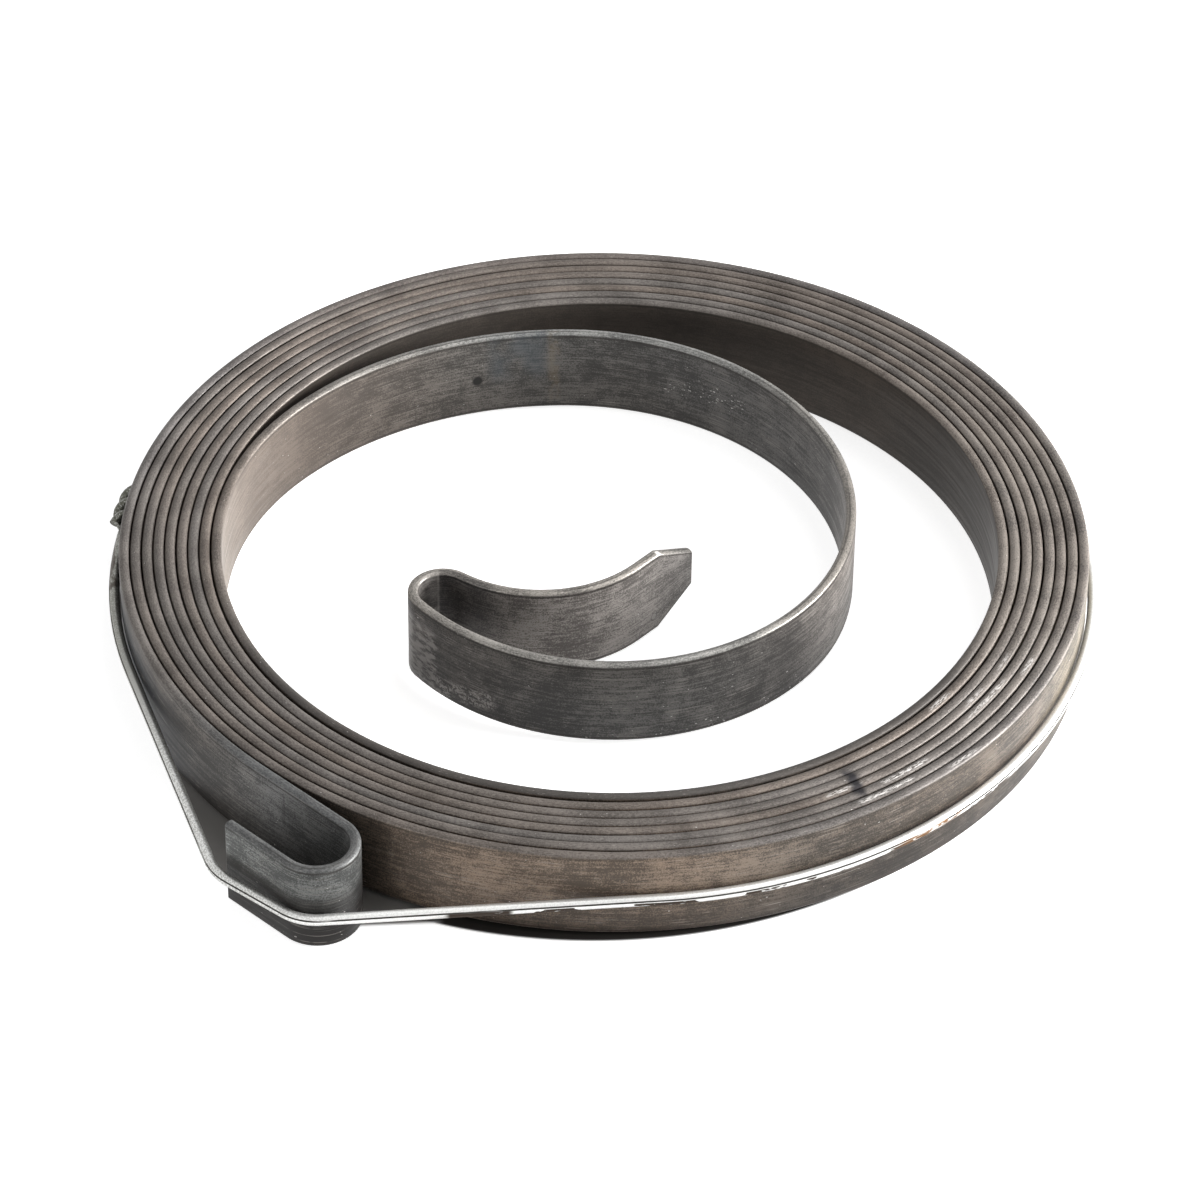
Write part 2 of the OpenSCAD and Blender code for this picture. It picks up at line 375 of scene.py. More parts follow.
# %% [markdown]
# ## Drawing a finish with numbers
#
# A finish could be a photograph wrapped round the piece, but that only fits one size and one light. Here
# every finish is worked out from numbers at each point: how far along the piece it lies, how far round it,
# and where it is in space. Nodes turn these numbers into shares between 0 and 1, and shares mix colours. The
# class below only shortens the writing: each call adds a node or a few, and gives what comes out.

# %% A finish and its short calls
class Finish:
    """A material that is built up from patterns.

    `along` and `round` are the piece's own UV map, in metres, and `space` is the place in the frame."""

    def __init__(self, name):
        self.material = bpy.data.materials.new(name)
        self.material.use_nodes = True
        self.tree = self.material.node_tree
        self.shader = self.tree.nodes["Principled BSDF"]
        self.run = self.node("UVMap", {}, uv_map="run")
        self.along, self.round = self.parts(self.run)[:2]
        self.space = self.node("TexCoord", {}, "Object")
        self.x, self.y, self.z = self.parts(self.space)

    def feed(self, socket, value):
        """Links a node's output to a socket, or sets the socket to a value."""
        if isinstance(value, bpy.types.NodeSocket):
            self.tree.links.new(value, socket)
        elif socket.type == "RGBA":
            socket.default_value = (*value, 1)
        else:
            socket.default_value = value

    def node(self, kind, inputs, output=0, **settings):
        """Adds a node with its settings and inputs, and gives one of its outputs."""
        made = self.tree.nodes.new("ShaderNode" + kind)
        for setting, value in settings.items():
            setattr(made, setting, value)
        for key, value in inputs.items():
            self.feed(made.inputs[key], value)
        return made.outputs[output]

    def parts(self, vector):
        """The three numbers of a vector."""
        return list(self.node("SeparateXYZ", {0: vector}).node.outputs)

    def maths(self, operation, a, b=0.0):
        """One sum, such as ADD, MULTIPLY or MAXIMUM."""
        return self.node("Math", {0: a, 1: b}, operation=operation)

    def both(self, *shares):
        """The product of shares: full only where all of them are."""
        total = shares[0]
        for share in shares[1:]:
            total = self.maths("MULTIPLY", total, share)
        return total

    def ramp(self, value, none, full):
        """0 where the value is at `none`, 1 where it is at `full`, eased between them."""
        return self.node("MapRange", {"Value": value, "From Min": none, "From Max": full},
                         interpolation_type="SMOOTHSTEP")

    def band(self, value, middle, half, soft):
        """1 within `half` of a middle, easing to 0 over `soft` more."""
        away = self.maths("ABSOLUTE", self.maths("SUBTRACT", value, middle))
        return self.ramp(away, half + soft, half)

    def distance(self, place):
        """The distance from a place in space."""
        return self.node("VectorMath", {0: self.space, 1: place}, "Value", operation="DISTANCE")

    def spot(self, place, radius, soft):
        """1 within a radius of a place in space, easing to 0 over `soft` more."""
        return self.ramp(self.distance(place), radius + soft, radius)

    def noise(self, vector, size, detail=3.0, rough=0.55):
        """Smooth noise between 0 and 1, whose features are about as large as `size` in each direction."""
        scale = [1 / s for s in size] if isinstance(size, tuple) else [1 / size] * 3
        scaled = self.node("Mapping", {"Vector": vector, "Scale": scale})
        return self.node("TexNoise", {"Vector": scaled, "Scale": 1.0, "Detail": detail, "Roughness": rough})

    def stops(self, value, places):
        """A colour that changes evenly from stop to stop. A stop is a value between 0 and 1, and a colour."""
        made = self.node("ValToRGB", {0: value}).node
        while len(made.color_ramp.elements) < len(places):
            made.color_ramp.elements.new(1.0)
        for element, (place, colour) in zip(made.color_ramp.elements, places):
            element.position = place
            element.color = (*colour, 1)
        return made.outputs[0]

    def blend(self, *weighted):
        """The sum of patterns, each with its weight."""
        total = None
        for pattern, weight in weighted:
            part = self.maths("MULTIPLY", pattern, weight)
            total = part if total is None else self.maths("ADD", total, part)
        return total

    def between(self, share, a, b):
        """The number a where the share is 0, and the number b where it is 1."""
        return self.node("Mix", {0: share, 2: a, 3: b}, 0, data_type="FLOAT")

    def mix(self, share, a, b):
        """Colour a where the share is 0, and colour b where it is 1."""
        return self.node("Mix", {0: share, 6: a, 7: b}, 2, data_type="RGBA")

    def tint(self, colour, cast):
        """A colour times a cast."""
        return self.node("Mix", {0: 1.0, 6: colour, 7: cast}, 2, data_type="RGBA", blend_type="MULTIPLY")

    def shaded(self, colour, share, cast):
        """A colour that takes a cast where the share is 1."""
        return self.mix(share, colour, self.tint(colour, cast))

    def laid(self, colour, share, strength, paint):
        """A colour with a paint laid over it, by a share times a strength."""
        return self.mix(self.maths("MULTIPLY", share, strength), colour, paint)

    def bump(self, height, depth, strength):
        """A normal from a pattern of heights between 0 and 1, which stand for a depth in metres."""
        return self.node("Bump", {"Height": height, "Distance": depth, "Strength": strength})


print("a finish has", sum(callable(value) for value in vars(Finish).values()) - 1, "short calls")

# %% [markdown]
# ## Tempered strip: zones and streaks
#
# Spring strip is rolled, hardened in oil and tempered, which leaves a thin dark brown-grey scale. Rolling
# draws every mark out lengthwise, so its faces are streaked along the strip. Cloudy patches lie over the
# streaks, warmer where the scale is thin. The ends were heated again before they were bent, so both are a
# colder grey. Noise in the plain coordinates of space would cut across the turns. The UV map follows the
# strip, so the same noise, stretched along it, follows every bend.
#
# Places along the strip are in metres from its outer end: the hook ends at about 0.02, the coil lies from
# there to 1.86, and the free turn, the inner hook and the tail take the rest.

# %% Sides, streaks and clouds
steel = Finish("tempered_steel")
from_head = steel.maths("ABSOLUTE", steel.maths("SUBTRACT", steel.round, TOP_MIDDLE))
from_foot = steel.maths("SUBTRACT", TOP_MIDDLE, from_head)
from_edge = steel.maths("MINIMUM", from_head, from_foot)
outside = steel.maths("LESS_THAN", steel.round, TOP_MIDDLE)
inside = steel.maths("SUBTRACT", 1.0, outside)

streaks = steel.noise(steel.run, (9 * MM, 0.34 * MM, 1.0), 3.0, 0.6)
dashes = steel.noise(steel.run, (1.6 * MM, 0.16 * MM, 1.0), 3.0, 0.65)
hairs = steel.noise(steel.run, (6 * MM, 0.09 * MM, 1.0), 1.0)
clouds = steel.noise(steel.space, 7 * MM, 3.0, 0.6)
blots = steel.noise(steel.space, 2.2 * MM, 3.0, 0.65)
grain = steel.noise(steel.space, 0.12 * MM, 1.0, 0.6)
thin_scale = steel.blend((streaks, 0.15), (dashes, 0.25), (clouds, 0.20), (blots, 0.16), (grain, 0.24))
print("faces run", round(TOP_MIDDLE / MM, 2), "mm from foot to head")

# %% Colours along the strip
# Each zone has a place along the strip, the colour of thick scale and the colour of thin scale.
# Some zones are also painted lighter, as painted light: two stretches of the free turn and the tail.
ZONES = [(0.005, (0.102, 0.103, 0.097), (0.350, 0.352, 0.334)),
         (0.0095, (0.020, 0.021, 0.020), (0.064, 0.066, 0.063)),
         (0.022, (0.068, 0.067, 0.064), (0.220, 0.215, 0.208)),
         (0.036, (0.052, 0.044, 0.037), (0.162, 0.132, 0.107)),
         (1.850, (0.052, 0.044, 0.037), (0.162, 0.132, 0.107)),
         (1.860, (0.120, 0.105, 0.091), (0.350, 0.310, 0.270)),
         (1.872, (0.086, 0.073, 0.063), (0.255, 0.219, 0.190)),
         (1.884, (0.053, 0.044, 0.038), (0.155, 0.131, 0.112)),
         (1.901, (0.050, 0.047, 0.043), (0.150, 0.141, 0.130)),
         (1.926, (0.039, 0.036, 0.034), (0.110, 0.103, 0.097)),
         (1.942, (0.056, 0.052, 0.048), (0.165, 0.154, 0.144)),
         (1.953, (0.106, 0.098, 0.091), (0.312, 0.293, 0.276)),
         (1.961, (0.035, 0.032, 0.030), (0.100, 0.093, 0.087)),
         (1.974, (0.048, 0.045, 0.042), (0.138, 0.130, 0.120)),
         (1.990, (0.026, 0.024, 0.023), (0.084, 0.078, 0.073)),
         (1.9985, (0.016, 0.015, 0.014), (0.054, 0.051, 0.048)),
         (2.006, (0.128, 0.121, 0.117), (0.375, 0.360, 0.348)),
         (2.019, (0.076, 0.072, 0.069), (0.220, 0.212, 0.204))]
THICKEST, THINNEST = 0.455, 0.565
place_along = steel.maths("DIVIDE", steel.along, float(STRIP_LENGTH))
dark = steel.stops(place_along, [(place / STRIP_LENGTH, thick) for place, thick, _ in ZONES])
light = steel.stops(place_along, [(place / STRIP_LENGTH, thin) for place, _, thin in ZONES])
share = steel.ramp(thin_scale, THICKEST, THINNEST)
print(len(ZONES), "places of colour along the strip")

# %% Faces that nothing rubbed, in painted shade
# The inner faces of the coil never rubbed on anything, so they are even. They are also painted darker as
# painted shade, most of all at the right.
UNTOUCHED_SHADE, FAR_RIGHT_SHADE = (0.70, 0.70, 0.71), (0.48, 0.47, 0.46)
FAR_RIGHT_SHADE_AT = (31 * MM, 7 * MM, 4 * MM)
EVENNESS, EVEN_SHARE = 0.65, 0.42
calm = steel.both(inside, steel.ramp(steel.along, 0.020, 0.030), steel.ramp(steel.along, 1.900, 1.876))
share = steel.between(steel.maths("MULTIPLY", calm, EVENNESS), share, EVEN_SHARE)
face = steel.mix(share, dark, light)
untouched_shade = steel.both(calm, steel.ramp(steel.along, 1.845, 1.820))
face = steel.shaded(face, untouched_shade, UNTOUCHED_SHADE)
far_right_shade = steel.both(untouched_shade, steel.spot(FAR_RIGHT_SHADE_AT, 9 * MM, 12 * MM))
face = steel.shaded(face, far_right_shade, FAR_RIGHT_SHADE)
print("inner faces are", round(100 * EVENNESS), "percent even")

# %% Painted shade towards the foot
# The outer faces of the coil and of the hook are painted darker towards the foot, as painted shade, and
# darkest on the hook below the wire. The hook is bent back, so its outer face is the strip's inner one. Close
# behind the hook, where the real shade is already deep, the painted shade is weaker.
LOW_SHADE = (0.016, 0.014, 0.013)
HOOK_BEND = 0.0165
LESS_SHADE_AT = (-17 * MM, -35 * MM, 2 * MM)
low_shade_coil = steel.both(steel.ramp(steel.z, 5.2 * MM, 0.4 * MM), outside,
                       steel.ramp(steel.along, 1.860, 1.850))
low_shade_hook = steel.both(steel.ramp(steel.z, 5.8 * MM, 3.9 * MM), inside,
                       steel.ramp(steel.along, HOOK_BEND + 0.002, HOOK_BEND))
less_shade = steel.spot(LESS_SHADE_AT, 5 * MM, 6 * MM)
low_shade_coil = steel.both(low_shade_coil, steel.ramp(less_shade, 1.25, 0.0))
low_shade = steel.maths("MAXIMUM", low_shade_coil, low_shade_hook)
shade_below_wire = steel.both(low_shade_hook, steel.ramp(steel.z, 3.6 * MM, 2.6 * MM))
face = steel.mix(steel.blend((low_shade, 0.70), (shade_below_wire, 0.30)), face, LOW_SHADE)
print("painted shade on the outer faces of the coil and the hook")

# %% Painted light on the coil's outside
# The front is painted warmer and paler and the right end paler still, as painted light. Between them the
# outside is painted a little darker.
FRONT_LIT, RIGHT_FRONT_DARK, RIGHT_LIT = (1.62, 1.52, 1.42), (0.88, 0.86, 0.84), (1.80, 1.88, 1.76)
in_coil_zone = steel.both(outside, steel.ramp(steel.along, 0.030, 0.040))
front_lit = steel.both(steel.spot((-2 * MM, -40 * MM, 5 * MM), 9 * MM, 12 * MM), in_coil_zone)
right_front_dark = steel.both(steel.spot((24 * MM, -32 * MM, 5 * MM), 6 * MM, 8 * MM), in_coil_zone)
right_lit = steel.both(steel.spot((41 * MM, -6 * MM, 5 * MM), 5 * MM, 12 * MM), in_coil_zone)
for where, cast_there in ((front_lit, FRONT_LIT), (right_front_dark, RIGHT_FRONT_DARK), (right_lit, RIGHT_LIT)):
    face = steel.shaded(face, where, cast_there)
print("the outside is painted lighter at the front and at the right")

# %% Painted shade by the wire
# Shade is painted right above the wire at the right, where little light reaches the face, and deeper still in
# the crevice that the wire makes with the coil at the left.
CREVICE, ABOVE_WIRE = (0.011, 0.012, 0.015), (0.55, 0.56, 0.53)
above_wire = steel.both(right_lit, steel.ramp(steel.z, 5.8 * MM, 4.3 * MM),
                        steel.ramp(steel.z, 3.2 * MM, 3.6 * MM))
face = steel.shaded(face, above_wire, ABOVE_WIRE)
crevice = steel.both(outside, steel.ramp(steel.along, 0.028, 0.042), steel.ramp(steel.along, 0.110, 0.080),
                     steel.ramp(steel.z, 8.4 * MM, 5.4 * MM))
face = steel.laid(face, crevice, 0.95, CREVICE)
print("shade above the wire and in its crevice")

# %% Casts and scratches
# Neighbouring turns come from far apart on the strip, so each has its own slight cast, warm or cold.
WARM, COLD = (1.04, 0.99, 0.95), (0.97, 1.00, 1.03)
SCRATCH = (0.36, 0.33, 0.30)
cast_noise = steel.noise(steel.run, (70 * MM, 40 * MM, 1.0), 2.0)
cast = steel.mix(steel.ramp(cast_noise, 0.36, 0.64), COLD, WARM)
face = steel.tint(face, cast)
scratches = steel.both(steel.ramp(hairs, 0.58, 0.70), steel.ramp(blots, 0.42, 0.60),
                       steel.maths("SUBTRACT", 1.0, calm))
face = steel.laid(face, scratches, 0.45, SCRATCH)
print("casts go from", COLD, "to", WARM)

# %% [markdown]
# ## Worn edges
#
# The crowned edges carry the coil in its box and rub on everything, so their scale is thin: they are paler
# than the faces and grainy, and glints are painted on them as bright highlights. A dark line of oil stays at
# the foot of the crown. The distance from the middle of each edge, taken from the UV map, says where an edge
# is, whatever the strip does in space.

# %% Crowned edges
EDGE_FOOT, EDGE_FULL = 0.60 * MM, 0.38 * MM
EDGE_DARK, EDGE_LIGHT = (0.084, 0.073, 0.065), (0.196, 0.173, 0.155)
COLD_DARK, COLD_LIGHT = (0.070, 0.070, 0.068), (0.175, 0.173, 0.168)
RIM_DARK, RIM_LIGHT = (0.110, 0.108, 0.102), (0.360, 0.350, 0.328)
BLUED = (0.95, 0.98, 1.03)
on_edge = steel.ramp(from_edge, EDGE_FOOT, EDGE_FULL)
tail_end = steel.ramp(steel.along, 1.870, 1.900)
cold_ends = steel.maths("MAXIMUM", steel.ramp(steel.along, 0.040, 0.024), tail_end)
edge_grain = steel.noise(steel.run, (0.30 * MM, 0.11 * MM, 1.0), 2.0, 0.7)
edge_clouds = steel.noise(steel.space, 4 * MM, 2.0)
edge_share = steel.ramp(steel.blend((edge_grain, 0.45), (edge_clouds, 0.30), (grain, 0.25)), 0.39, 0.61)
edge_dark = steel.mix(tail_end, steel.mix(cold_ends, EDGE_DARK, COLD_DARK), RIM_DARK)
edge_light = steel.mix(tail_end, steel.mix(cold_ends, EDGE_LIGHT, COLD_LIGHT), RIM_LIGHT)
edge = steel.tint(steel.mix(edge_share, edge_dark, edge_light), cast)
blued = steel.both(steel.ramp(steel.along, 0.30, 0.15), steel.ramp(steel.along, 0.05, 0.07))
edge = steel.shaded(edge, blued, BLUED)
print("edges begin", round(EDGE_FOOT / MM, 2), "mm from their middle, measured round the section")

# %% Where the edges are worn, with painted light and shade
# The edges are painted paler at the right, both as wear where the spring slid in its box and as painted light
# from that side. The inmost turn has sagged at the front, and its edge there is painted dark as painted
# shade.
SLID_AND_LIT, SAG_SHADE = (0.245, 0.216, 0.190), (0.052, 0.047, 0.043)
SLID_AND_LIT_AT = (38 * MM, 2 * MM, 8 * MM)
slid_and_lit = steel.spot(SLID_AND_LIT_AT, 6 * MM, 28 * MM)
edge = steel.mix(steel.both(slid_and_lit, edge_share), edge, SLID_AND_LIT)
shadowed = steel.band(steel.along, SAG_AT, 0.030, 0.016)
edge = steel.laid(edge, shadowed, 0.75, SAG_SHADE)
colour = steel.mix(on_edge, face, edge)
print("the sagged turn is unworn at", SAG_AT, "m")

# %% Oil lines along the edges
# Strip is slit from sheet, which leaves a fine line along its upper edge. It shows only at the bare ends.
# This dark colour darkens oil lines here, and further down it also paints shade along the wire on the outer
# hook and round a dent.
OIL_AND_SHADE = (0.020, 0.017, 0.015)
oil_line = steel.both(steel.band(from_edge, 0.64 * MM, 0.05 * MM, 0.10 * MM), steel.ramp(streaks, 0.30, 0.55))
oil_depth = steel.between(cold_ends, 0.45, 0.80)
colour = steel.laid(colour, oil_line, oil_depth, OIL_AND_SHADE)
slit_line = steel.both(steel.band(steel.round, TOP_MIDDLE + 0.10 * MM, 0.03 * MM, 0.09 * MM), cold_ends,
                       steel.ramp(streaks, 0.36, 0.56))
colour = steel.laid(colour, slit_line, 0.55, OIL_AND_SHADE)
print("an oil line at the foot of each crown")

# %% Glints and flecks
# Glints are painted highlights: fine bright specks in the colour. They lie in stretches of a few turns only,
# most of them at the front right.
GLINT = (0.72, 0.69, 0.66)
GLINT_AT = (30 * MM, -25 * MM, 8 * MM)
specks = steel.noise(steel.run, (0.55 * MM, 0.10 * MM, 1.0), 2.0, 0.7)
stretches = steel.noise(steel.run, (13 * MM, 9 * MM, 1.0), 1.0)
lane = steel.band(steel.round, TOP_MIDDLE - 0.06 * MM, 0.10 * MM, 0.14 * MM)
glint_spot = steel.spot(GLINT_AT, 6 * MM, 22 * MM)
glint_places = steel.maths("ADD", stretches, steel.maths("MULTIPLY", glint_spot, 0.13))
glints = steel.both(lane, steel.ramp(specks, 0.45, 0.56), steel.ramp(glint_places, 0.69, 0.73))
colour = steel.mix(glints, colour, GLINT)
salt = steel.both(on_edge, steel.ramp(specks, 0.60, 0.70), steel.ramp(edge_clouds, 0.40, 0.60))
colour = steel.laid(colour, salt, 0.55, SCRATCH)

# Flecks are on the faces. There are more at the foot of the free turn's front and inside its back.
fleck_noise = steel.noise(steel.run, (0.40 * MM, 0.15 * MM, 1.0), 1.0)
foot_flecks = steel.both(steel.band(steel.along, 1.968, 0.010, 0.006), outside,
                         steel.ramp(steel.z, 1.8 * MM, 1.0 * MM))
back_flecks = steel.both(steel.band(steel.along, 1.9205, 0.0040, 0.0030), inside,
                         steel.band(steel.z, 4.3 * MM, 0.6 * MM, 1.2 * MM))
more_flecks = steel.blend((foot_flecks, 0.07), (back_flecks, 0.09), (untouched_shade, -0.2))
flecks = steel.both(steel.ramp(steel.maths("ADD", fleck_noise, more_flecks), 0.75, 0.80),
                    steel.ramp(clouds, 0.40, 0.52))
colour = steel.mix(flecks, colour, GLINT)
print("glints on the edges and flecks on the faces")

# %% [markdown]
# ## Marks of this spring
#
# A used tool leaves marks, and they make this spring this one: a small dark pit and the blue and straw
# colours of heat on the free turn, where its end was softened for bending; bare metal on the outside of the
# inner hook, where the bending jaw slid; a pale line inside that hook and a dark one on the outer hook's leg;
# a dent and a burr at the tail, drawn with painted shade and a painted highlight; and a stroke of ink across
# the edges. Each is a mask: a place along the strip, a height, a side, and noise to break its border.

# %% Heat colours and a pit
PIT, BLUE, STRAW = (0.010, 0.009, 0.008), (0.070, 0.085, 0.098), (0.230, 0.175, 0.110)
BLUE_AT, STRAW_AT = 1.9034, 1.9066
PIT_AT = (-11.28 * MM, 26.70 * MM, 3.6 * MM)
ragged = steel.noise(steel.space, 1.2 * MM, 2.0, 0.65)
heat_blue = steel.both(steel.band(steel.along, BLUE_AT, 0.0016, 0.0016), inside,
                       steel.ramp(clouds, 0.36, 0.58), steel.ramp(steel.z, 2.5 * MM, 4.5 * MM))
colour = steel.laid(colour, heat_blue, 0.5, BLUE)
heat_straw = steel.both(steel.band(steel.along, STRAW_AT, 0.0002, 0.0006), inside,
                        steel.ramp(ragged, 0.35, 0.6))
colour = steel.laid(colour, heat_straw, 0.24, STRAW)
pit = steel.both(steel.spot(PIT_AT, 0.32 * MM, 0.30 * MM), inside)
colour = steel.mix(pit, colour, PIT)
print("heat colours", BLUE_AT, "m along the strip")

# %% Where the jaw slid
# The jaw left bare metal round the bend, a bite that climbs a little along the foot, and oil above the bite.
BARE = (0.330, 0.310, 0.295)
BITE_AT, BITE_START, BITE_SLOPE = 1.9897, 1.9924, 0.17
BITE_HEIGHT = 1.3 * MM + BITE_SLOPE * BITE_START
mottle = steel.noise(steel.space, 0.17 * MM, 1.0, 0.6)
smear = steel.noise(steel.run, (1.1 * MM, 0.45 * MM, 1.0), 3.0, 0.65)
slide_place = steel.maths("ADD", steel.along, steel.maths("MULTIPLY", smear, 0.0030))
jaw_slide = steel.both(steel.ramp(slide_place, 1.9940, 1.9946), steel.ramp(steel.along, 1.9985, 1.9970),
                       outside, steel.ramp(smear, 0.40, 0.56), steel.ramp(steel.z, 7.0 * MM, 6.0 * MM))
colour = steel.laid(colour, jaw_slide, 0.48, BARE)
bite_height = steel.maths("ADD", steel.z, steel.maths("MULTIPLY", steel.along, BITE_SLOPE))
jaw_bite = steel.both(steel.band(steel.along, BITE_AT, 0.0024, 0.0012), outside,
                      steel.ramp(smear, 0.42, 0.54),
                      steel.band(bite_height, BITE_HEIGHT, 0.5 * MM, 0.7 * MM),
                      steel.ramp(mottle, 0.38, 0.54))
colour = steel.laid(colour, jaw_bite, 0.75, BARE)
jaw_shade = steel.both(steel.band(steel.along, 1.9893, 0.0024, 0.0014), outside,
                       steel.ramp(smear, 0.60, 0.46),
                       steel.band(steel.z, 4.9 * MM, 1.3 * MM, 0.9 * MM))
colour = steel.laid(colour, jaw_shade, 0.45, OIL_AND_SHADE)
print("the jaw bit", BITE_AT, "m along the strip")

# %% Inside the inner hook
# Inside the hook the bend was scoured up to a pale line, and beyond the line the scale is blue and dark.
TEMPER = (0.020, 0.020, 0.024)
BEND_LINE_AT = 2.0000
temper = steel.both(steel.band(steel.along, 2.0020, 0.0019, 0.0030), inside,
                    steel.ramp(steel.along, BEND_LINE_AT, BEND_LINE_AT + 0.0002))
colour = steel.laid(colour, temper, 0.4, TEMPER)
scoured = steel.both(steel.band(steel.along, 1.9984, 0.0015, 0.0004), inside, steel.ramp(blots, 0.36, 0.62))
colour = steel.laid(colour, scoured, 0.28, BARE)
bend_line = steel.both(steel.band(steel.along, BEND_LINE_AT, 0.00005, 0.00010), inside,
                       steel.ramp(ragged, 0.30, 0.55))
colour = steel.laid(colour, bend_line, 0.32, BARE)
print("the bend line is", BEND_LINE_AT, "m along the strip")

# %% Dent and burr at the tail, and lines on the outer hook
# A small dent beside the tail's lower cut is painted, not shaped: a lighter floor in a rim of painted shade.
# Where the upper cut starts, the shear's burr is a painted highlight. The outer hook's leg has a dark line,
# and its return is painted dark along the wire, as painted shade.
DENT_AT = (4.14 * MM, -2.85 * MM, 1.9 * MM)
LEG_LINE_AT = 0.0225
dent_rim_shade = steel.both(steel.spot(DENT_AT, 0.36 * MM, 0.06 * MM), inside)
dent_floor = steel.both(steel.spot(DENT_AT, 0.24 * MM, 0.10 * MM), inside)
colour = steel.laid(colour, dent_rim_shade, 0.45, OIL_AND_SHADE)
colour = steel.laid(colour, dent_floor, 0.55, BARE)
leg_line = steel.both(steel.band(steel.along, LEG_LINE_AT, 0.00004, 0.00014), outside,
                      steel.ramp(ragged, 0.35, 0.5), steel.band(steel.z, 5.6 * MM, 1.2 * MM, 0.8 * MM))
colour = steel.laid(colour, leg_line, 0.4, PIT)
wire_shade = steel.both(steel.ramp(steel.along, 0.0130, 0.0070), inside,
                        steel.band(steel.z, 4.3 * MM, 0.3 * MM, 0.8 * MM))
colour = steel.laid(colour, wire_shade, 0.5, OIL_AND_SHADE)
burr_highlight = steel.both(steel.band(steel.along, float(STRIP_LENGTH - TRIM_LENGTH), 0.00012, 0.00015), inside,
                        steel.ramp(from_head, 0.55 * MM, 0.40 * MM))
colour = steel.mix(burr_highlight, colour, GLINT)
print("dent at", [round(v / MM, 2) for v in DENT_AT], "mm")

# %% A stroke of ink
# The ink is a blurred stroke straight to the front, across three turns.
INK = (0.012, 0.011, 0.014)
INK_X, INK_Y, INK_LEAN = 9.6 * MM, -30.1 * MM, 0.35
ink_x = steel.maths("ADD", steel.x, steel.maths("MULTIPLY", steel.y, INK_LEAN))
ink_x = steel.maths("ADD", ink_x, steel.maths("MULTIPLY", ragged, 0.8 * MM))
ink = steel.both(steel.band(ink_x, INK_X, 0.16 * MM, 0.60 * MM),
                 steel.band(steel.y, INK_Y, 1.0 * MM, 0.9 * MM),
                 steel.ramp(steel.z, 7.0 * MM, 7.6 * MM))
colour = steel.laid(colour, ink, 0.95, INK)
print("ink at y", round(INK_Y / MM, 1), "mm")

# %% Put the strip's finish together
RIM_ROUGHNESS, GLINT_ROUGHNESS = 0.33, 0.25
STEEL_METALLIC, STEEL_SPECULAR = 0.35, 0.3
RELIEF_DEPTH, RELIEF_STRENGTH = 0.02 * MM, 0.5
roughness = steel.node("MapRange", {"Value": streaks, "From Min": 0.3, "From Max": 0.7,
                                    "To Min": 0.58, "To Max": 0.40})
roughness = steel.between(steel.both(on_edge, tail_end), roughness, RIM_ROUGHNESS)
roughness = steel.between(glints, roughness, GLINT_ROUGHNESS)
relief = steel.blend((streaks, 0.4), (dashes, 0.25), (grain, 0.25), (hairs, 0.1))
steel.feed(steel.shader.inputs["Base Color"], colour)
steel.feed(steel.shader.inputs["Roughness"], roughness)
steel.feed(steel.shader.inputs["Normal"], steel.bump(relief, RELIEF_DEPTH, RELIEF_STRENGTH))
steel.shader.inputs["Metallic"].default_value = STEEL_METALLIC
steel.shader.inputs["Specular IOR Level"].default_value = STEEL_SPECULAR
spring.data.materials.append(steel.material)
print("tempered steel:", len(steel.tree.nodes), "nodes")

# %% [markdown]
# ## Bright tie wire
#
# The tie is soft galvanised wire. Zinc is bright and a little grainy, and a thin dark line along it is a
# painted reflection. Where it rubs on the strip its lower side has picked up dark scale, and a few spots at
# the front right and near the twist have rusted. The distance round the wire, as a share of a full turn, says
# which side a point is on: a quarter is the top, a half is the side away from the coil.

# %% Zinc
ZINC, ZINC_DULL, ZINC_OLD = (0.86, 0.86, 0.84), (0.50, 0.50, 0.48), (0.24, 0.24, 0.21)
DARK_REFLECTION, TWIST_DULL = (0.06, 0.055, 0.05), (0.10, 0.10, 0.08)
REFLECTION_SIDE = 0.430
zinc = Finish("bright_wire")
side = zinc.maths("DIVIDE", zinc.round, ROUND_WIRE)
zinc_grain = zinc.noise(zinc.space, 0.14 * MM, 2.0, 0.65)
zinc_runs = zinc.noise(zinc.run, (6 * MM, 0.25 * MM, 1.0), 3.0)
by_hook = zinc.ramp(zinc.x, -17 * MM, -32 * MM)
old_end = zinc.ramp(zinc.x, -33 * MM, -41 * MM)
dull = zinc.both(zinc.ramp(zinc_grain, 0.58, 0.42), zinc.ramp(by_hook, -0.6, 1.0))
colour = zinc.mix(dull, ZINC, ZINC_DULL)
colour = zinc.mix(zinc.both(old_end, zinc.ramp(zinc_grain, 0.30, 0.55)), colour, ZINC_OLD)
# The dark line on the upper outer side of the wire is a painted reflection.
reflection_line = zinc.both(zinc.band(side, REFLECTION_SIDE, 0.016, 0.020), zinc.ramp(zinc_runs, 0.30, 0.46))
colour = zinc.mix(reflection_line, colour, DARK_REFLECTION)
twisted = zinc.both(zinc.ramp(zinc.x, -36 * MM, -38 * MM), zinc.ramp(zinc.y, 3.0 * MM, 4.5 * MM))
colour = zinc.mix(zinc.both(twisted, zinc.ramp(zinc_grain, 0.25, 0.55)), colour, TWIST_DULL)
print("zinc, dull by the hook and at the twist")

